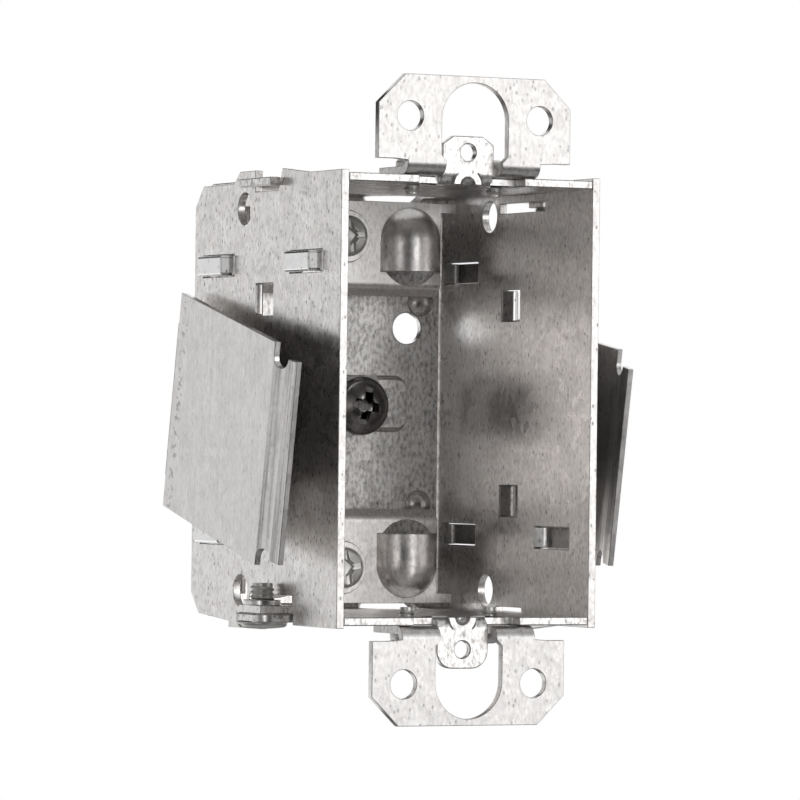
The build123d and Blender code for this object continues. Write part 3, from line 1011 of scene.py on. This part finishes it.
def screw_tree():
    """Node tree of a row of screws: heads up, shanks down, the underside of the heads at Z 0."""
    if "screw_row" in bpy.data.node_groups:
        return bpy.data.node_groups["screw_row"]
    tree = bpy.data.node_groups.new("screw_row", "GeometryNodeTree")
    socket_out(tree, "Geometry", "NodeSocketGeometry")
    tree.interface.new_socket("Head", in_out="INPUT", socket_type="NodeSocketObject")
    socket_in(tree, "Radius", "NodeSocketFloat", 2 * mm)
    socket_in(tree, "Length", "NodeSocketFloat", 8 * mm)
    socket_in(tree, "Pitch", "NodeSocketFloat", 0.8 * mm)
    socket_in(tree, "Thread depth", "NodeSocketFloat", 0.36 * mm)
    socket_in(tree, "Steps", "NodeSocketInt", 28)
    socket_in(tree, "Count", "NodeSocketInt", 1)
    socket_in(tree, "Spacing", "NodeSocketFloat", 0.0)
    tree.interface.new_socket("Material", in_out="INPUT", socket_type="NodeSocketMaterial")
    start = tree.nodes.new("NodeGroupInput").outputs
    end = tree.nodes.new("NodeGroupOutput").inputs

    core_radius = minus(tree, start["Radius"], start["Thread depth"])
    head = tree.nodes.new("GeometryNodeObjectInfo")
    link(tree, start["Head"], head.inputs["Object"])
    whole = tree.nodes.new("GeometryNodeJoinGeometry")
    link(tree, thread_nodes(tree, start, core_radius), whole.inputs["Geometry"])
    link(tree, core_nodes(tree, start, core_radius), whole.inputs["Geometry"])
    link(tree, head.outputs["Geometry"], whole.inputs["Geometry"])
    link(tree, row_nodes(tree, start, whole.outputs["Geometry"]), end["Geometry"])
    return tree


def screw_row(name, head, finish, place, **sizes):
    """A row of screws made by the tree as a plain mesh in its place; the loose head is removed."""
    screws = bpy.context.scene.box_screws
    tree = screw_tree()
    piece = new_object(name, bpy.data.meshes.new(name))
    nodes = piece.modifiers.new("screw_row", "NODES")
    nodes.node_group = tree
    values = {
        "Head": head,
        "Pitch": screws.thread_pitch,
        "Thread depth": screws.thread_depth,
        "Steps": screws.thread_steps,
        "Material": finishes()[finish],
    }
    values.update(sizes)
    for entry in tree.interface.items_tree:
        if entry.in_out == "INPUT" and entry.name in values:
            nodes[entry.identifier] = values[entry.name]
    made_plain(piece)
    drop(head)
    piece.data.transform(place)
    piece.data.shade_smooth()
    piece.data.set_sharp_from_angle(angle=smooth_angle)
    return piece


over = 1.0 * mm
slot_width = 1.1 * mm
slot_depth = 0.75 * mm
slotted_steps = 48


def recess(name, outline, height, depth, shrink=1.0):
    """Cutter for a recess in the top of a head."""
    return tapered_cut(name, outline, height + over, height - depth, shrink)


def slotted_head(name, radius, height, crown, edge, width):
    """Turned head with a straight slot across it."""
    head = lathe(name + "_head", rounded_head(radius, height, crown, edge), slotted_steps)
    outline = rectangle(radius * 3, width)
    return cut_head(head, [recess(name + "_slot", outline, height, slot_depth)])


def upright_place(x, y, low, high, height, up):
    """Place of a screw with its head at the top of its box, or at the bottom and turned over."""
    if up:
        return Matrix.Translation((x, y, high.z - height))
    return Matrix.Translation((x, y, low.z + height)) @ Matrix.Rotation(pi, 4, "X")


def front_place(low, high, height):
    """Place of a screw with its head at the front of its box."""
    middle = (low + high) / 2
    return Matrix.Translation((middle.x, low.y + height, middle.z)) @ Matrix.Rotation(pi / 2, 4, "X")


gang_head_height = 1.2 * mm
gang_shank_radius = 2.08 * mm


class BOX_OT_gang_screws(Operator):
    """Make the two screws that hold the side plates"""

    bl_idname = "switch_box.gang_screws"
    bl_label = "Gang screws"

    def execute(self, context):
        height = gang_head_height
        for side in ("left", "right"):
            node = side + "_gang_screw"
            low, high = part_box(node)
            middle = (low + high) / 2
            radius = (high.x - low.x) / 2
            head = slotted_head("gang", radius, height, crown=0.25 * mm, edge=0.75 * mm, width=slot_width)
            piece = screw_row(
                side + "_plate_screw",
                head,
                "screw_zinc",
                upright_place(middle.x, middle.y, low, high, height, side == "right"),
                Radius=gang_shank_radius,
                Length=high.z - low.z - height,
            )
            finish_piece(piece, "screw_zinc", node)
        return {"FINISHED"}


ear_head_height = 1.9 * mm
ear_shank_radius = 1.42 * mm
ear_slot_width = slot_width * 0.8


class BOX_OT_ear_screws(Operator):
    """Make the two pairs of plaster-ear screws"""

    bl_idname = "switch_box.ear_screws"
    bl_label = "Ear screws"

    def execute(self, context):
        height = ear_head_height
        for end in ("top", "bottom"):
            node = end + "_ear_screws"
            low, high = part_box(node)
            middle = (low + high) / 2
            radius = (high.y - low.y) / 2
            head = slotted_head("ear", radius, height, crown=0.35 * mm, edge=0.8 * mm, width=ear_slot_width)
            piece = screw_row(
                end + "_ear_screw_pair",
                head,
                "screw_zinc",
                upright_place(low.x + radius, middle.y, low, high, height, end == "top"),
                Radius=ear_shank_radius,
                Length=high.z - low.z - height,
                Count=2,
                Spacing=high.x - low.x - 2 * radius,
            )
            finish_piece(piece, "screw_zinc", node)
        return {"FINISHED"}


clamp_head_height = 2.2 * mm
clamp_head_steps = 56
clamp_shank_radius = 2.06 * mm
clamp_turn = radians(8)
clamp_square_width = 3.3 * mm
clamp_cross_length = 6.2 * mm


class BOX_OT_clamp_screws(Operator):
    """Make the two cable-clamp screws"""

    bl_idname = "switch_box.clamp_screws"
    bl_label = "Clamp screws"

    def execute(self, context):
        height = clamp_head_height
        for end in ("top", "bottom"):
            node = end + "_clamp_screw"
            low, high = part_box(node)
            section = rounded_head((high.x - low.x) / 2, height, crown=0.35 * mm, edge=1.25 * mm)
            head = lathe("clamp_head", section, clamp_head_steps)
            square = turned(rectangle(clamp_square_width, clamp_square_width), clamp_turn + pi / 4)
            slots = turned(cross(clamp_cross_length, slot_width), clamp_turn)
            cutters = [
                recess("square_recess", square, height, depth=1.5 * mm, shrink=0.6),
                recess("cross_recess", slots, height, depth=0.9 * mm, shrink=0.95),
            ]
            cut_head(head, cutters)
            piece = screw_row(
                end + "_clamp_bolt",
                head,
                "screw_zinc",
                front_place(low, high, height),
                Radius=clamp_shank_radius,
                Length=high.y - low.y - height,
            )
            finish_piece(piece, "screw_zinc", node)
        return {"FINISHED"}


ground_head_height = 3.0 * mm
ground_head_steps = 64
ground_shank_radius = 2.4 * mm
ground_turn = radians(78)
ground_cross_length = 5.6 * mm
ground_cross_width = 1.7 * mm
ground_middle_width = 3.1 * mm
ground_slot_width = 1.5 * mm


class BOX_OT_ground_screw(Operator):
    """Make the dark ground screw and its wire plate"""

    bl_idname = "switch_box.ground_screw"
    bl_label = "Ground screw"

    def execute(self, context):
        node = "ground_screw"
        height = ground_head_height
        low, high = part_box(node)
        radius = (high.x - low.x) / 2
        section = rounded_head(radius, height, crown=1.5 * mm, edge=1.2 * mm)
        head = lathe("ground_head", section, ground_head_steps)
        arms = turned(cross(ground_cross_length, ground_cross_width), ground_turn)
        middle = turned(rectangle(ground_middle_width, ground_middle_width), ground_turn + pi / 4)
        long_slot = turned(rectangle(radius * 3, ground_slot_width), ground_turn)
        cutters = [
            recess("cross_recess", arms, height, depth=2.5 * mm, shrink=0.75),
            recess("cross_middle", middle, height, depth=2.5 * mm, shrink=0.75),
            recess("long_slot", long_slot, height, depth=1.0 * mm),
        ]
        cut_head(head, cutters)
        piece = screw_row(
            "ground_bolt",
            head,
            "dark_steel",
            front_place(low, high, height),
            Radius=ground_shank_radius,
            Length=high.y - low.y - height,
        )
        keep_inside(piece.data, node)
        finish_piece(piece, "ground_dark", node)
        soften("ground_wire_plate", "ground_plate", "wire_plate", "ground_dark")
        return {"FINISHED"}


# Stage: camera, lamps, surroundings, floor and the grey cards that only reflections see

eye = Vector((-0.4306, -0.8240, -0.0088))
camera_yaw = radians(26.914)
camera_pitch = radians(0.544)
camera_roll = radians(0.709)
floor_z = -0.2
floor_radius = 1.2
floor_segments = 96
lamp_distance = 1.2
card_distance = 1.25
card_columns = 12
card_rows = 6

# Bands of elevation, in degrees over the horizon
level = (-12, 12)
upper = (12, 45)
overhead = (45, 90)
lower = (-45, -12)
underfoot = (-90, -45)

# Name of each card, its azimuths in degrees, its band and its tone
cards = (
    ("back_left_card", (-180, -150), level, 0.76),
    ("left_card", (-150, -90), level, 0.55),
    ("far_left_card", (-90, -65), level, 0.25),
    ("near_left_card", (-65, -50), level, 0.3),
    ("camera_card", (-50, 16), level, 0.02),
    ("right_card", (45, 90), level, 0.15),
    ("back_right_card", (90, 150), level, 0.55),
    ("upper_left_card", (-180, -120), upper, 0.02),
    ("upper_side_card", (-120, -30), upper, 0.2),
    ("upper_camera_card", (-30, 16), upper, 0.1),
    ("upper_right_card", (30, 120), upper, 0.2),
    ("top_card", (-180, 180), overhead, 0.5),
    ("low_left_card", (-120, 0), lower, 0.04),
    ("low_right_card", (0, 180), lower, 0.15),
    ("ground_card", (-180, 180), underfoot, 0.3),
)

# Name of each lamp, its azimuth and elevation in degrees, its width and its height
lamps = (
    ("key", 12, 14, 0.17, 1.2),
    ("right", 34, 2, 0.44, 0.45),
    ("far_right", 43, 2, 0.28, 0.45),
    ("side", -45, 0, 0.21, 0.55),
)


def photo_camera(focal_length):
    """Camera that sees the object as the photo does."""
    lens = bpy.data.cameras.new("photo_camera")
    lens.lens = focal_length
    lens.sensor_width = 36
    lens.clip_start = 0.01
    lens.clip_end = 20
    camera = new_object("photo_camera", lens)
    turn = Matrix.Rotation(-camera_yaw, 4, "Z")
    turn = turn @ Matrix.Rotation(pi / 2 + camera_pitch, 4, "X")
    turn = turn @ Matrix.Rotation(camera_roll, 4, "Z")
    camera.matrix_world = Matrix.Translation(eye) @ turn
    return camera


def area_lamp(name, place, width, height, power):
    """Soft rectangular lamp that looks at the object."""
    lamp = bpy.data.lights.new(name, "AREA")
    lamp.shape = "RECTANGLE"
    lamp.size = width
    lamp.size_y = height
    lamp.energy = power
    item = new_object(name, lamp)
    item.location = place
    item.rotation_euler = Vector(place).to_track_quat("Z", "Y").to_euler()
    return item


def stage_material(name, colour):
    material = bpy.data.materials.new(name)
    material.use_nodes = True
    shader = material.node_tree.nodes["Principled BSDF"]
    shader.inputs["Base Color"].default_value = (*colour, 1)
    shader.inputs["Roughness"].default_value = 0.9
    shader.inputs["Specular IOR Level"].default_value = 0.0
    return material


def white_surroundings(ambient):
    world = bpy.data.worlds.new("white_surroundings")
    world.use_nodes = True
    tree = world.node_tree
    background = tree.nodes["Background"]
    background.inputs["Color"].default_value = (1, 1, 1, 1)
    path = tree.nodes.new("ShaderNodeLightPath")
    seen = math_node(tree, "MAXIMUM", path.outputs["Is Camera Ray"], path.outputs["Is Glossy Ray"])
    seen = math_node(tree, "MAXIMUM", seen, path.outputs["Is Transmission Ray"])
    strength = math_node(tree, "MAXIMUM", seen, ambient)
    link(tree, strength, background.inputs["Strength"])
    world.cycles.sampling_method = "NONE"
    bpy.context.scene.world = world


def flat_round(name, centre, radius, material):
    shape = bmesh.new()
    bmesh.ops.create_circle(shape, cap_ends=True, segments=floor_segments, radius=radius)
    piece = object_from(name, shape)
    piece.data.transform(Matrix.Translation(centre))
    piece.data.materials.append(material)
    return piece


def around(azimuth, elevation, distance):
    """Place round the object; azimuth 0 is in front of it, and it grows to the right."""
    turn = radians(azimuth)
    rise = radians(elevation)
    return Vector((sin(turn) * cos(rise), -cos(turn) * cos(rise), sin(rise))) * distance


def spread(low, high, count):
    """Values from low to high in equal steps."""
    return [low + (high - low) * step / count for step in range(count + 1)]


def glowing(name, tone):
    """Material that gives off one tone of grey and reflects nothing."""
    material = bpy.data.materials.new(name)
    material.use_nodes = True
    shader = material.node_tree.nodes["Principled BSDF"]
    shader.inputs["Base Color"].default_value = (0, 0, 0, 1)
    shader.inputs["Specular IOR Level"].default_value = 0.0
    shader.inputs["Emission Color"].default_value = (tone, tone, tone, 1)
    shader.inputs["Emission Strength"].default_value = 1.0
    return material


def card(name, azimuths, elevations, tone):
    """Grey card bent round the object between two azimuths and two elevations."""
    shape = bmesh.new()
    rises = spread(*elevations, card_rows)
    grid = []
    for azimuth in spread(*azimuths, card_columns):
        grid.append([shape.verts.new(around(azimuth, rise, card_distance)) for rise in rises])
    for one, two in zip(grid, grid[1:]):
        for row in range(card_rows):
            shape.faces.new((one[row], two[row], two[row + 1], one[row + 1]))
    item = object_from(name, shape)
    item.data.materials.append(glowing(name, tone))
    item.visible_camera = False
    item.visible_diffuse = False
    item.visible_shadow = False
    return item


class BOX_OT_stage(Operator):
    """Set up the camera, the lamps, the surroundings, the floor and the cards"""

    bl_idname = "switch_box.stage"
    bl_label = "Stage"

    def execute(self, context):
        scene = context.scene
        stage = scene.box_stage
        scene.view_settings.view_transform = "Standard"
        scene.camera = photo_camera(stage.lens)
        white_surroundings(stage.ambient)
        pale = stage_material("pale_floor", stage.floor_colour)
        floor = flat_round("floor", (0, 0, floor_z), floor_radius, pale)
        floor.visible_glossy = False
        for row in cards:
            card(*row)
        for name, azimuth, elevation, width, height in lamps:
            place = around(azimuth, elevation, lamp_distance)
            area_lamp(name + "_lamp", place, width, height, getattr(stage, name + "_power"))
        return {"FINISHED"}


# Panel and registration


class BOX_PT_panel(Panel):
    """Lists the pieces of the switch box"""

    bl_idname = "BOX_PT_panel"
    bl_label = "Switch box"
    bl_space_type = "VIEW_3D"
    bl_region_type = "UI"
    bl_category = "Switch box"

    def draw(self, context):
        scene = context.scene
        for settings in (scene.box_sheet, scene.box_screws, scene.box_stage):
            column = self.layout.column(align=True)
            for name in settings.bl_rna.properties.keys():
                if name not in ("rna_type", "name"):
                    column.prop(settings, name)
        for step in steps:
            self.layout.operator(step.bl_idname)


steps = (
    BOX_OT_frame,
    BOX_OT_side_plates,
    BOX_OT_spring_clips,
    BOX_OT_plaster_ears,
    BOX_OT_cable_clamps,
    BOX_OT_gang_screws,
    BOX_OT_ear_screws,
    BOX_OT_clamp_screws,
    BOX_OT_ground_screw,
    BOX_OT_stage,
)
settings_groups = {
    "box_sheet": SheetSettings,
    "box_screws": ScrewSettings,
    "box_stage": StageSettings,
}


def register():
    for name, group in settings_groups.items():
        bpy.utils.register_class(group)
        setattr(bpy.types.Scene, name, PointerProperty(type=group))
    for step in steps:
        bpy.utils.register_class(step)
    bpy.utils.register_class(BOX_PT_panel)


def unregister():
    bpy.utils.unregister_class(BOX_PT_panel)
    for step in reversed(steps):
        bpy.utils.unregister_class(step)
    for name, group in settings_groups.items():
        delattr(bpy.types.Scene, name)
        bpy.utils.unregister_class(group)


def main():
    register()
    bpy.ops.switch_box.frame()
    bpy.ops.switch_box.side_plates()
    bpy.ops.switch_box.spring_clips()
    bpy.ops.switch_box.plaster_ears()
    bpy.ops.switch_box.cable_clamps()
    bpy.ops.switch_box.gang_screws()
    bpy.ops.switch_box.ear_screws()
    bpy.ops.switch_box.clamp_screws()
    bpy.ops.switch_box.ground_screw()
    bpy.ops.switch_box.stage()


if __name__ == "__main__":
    main()
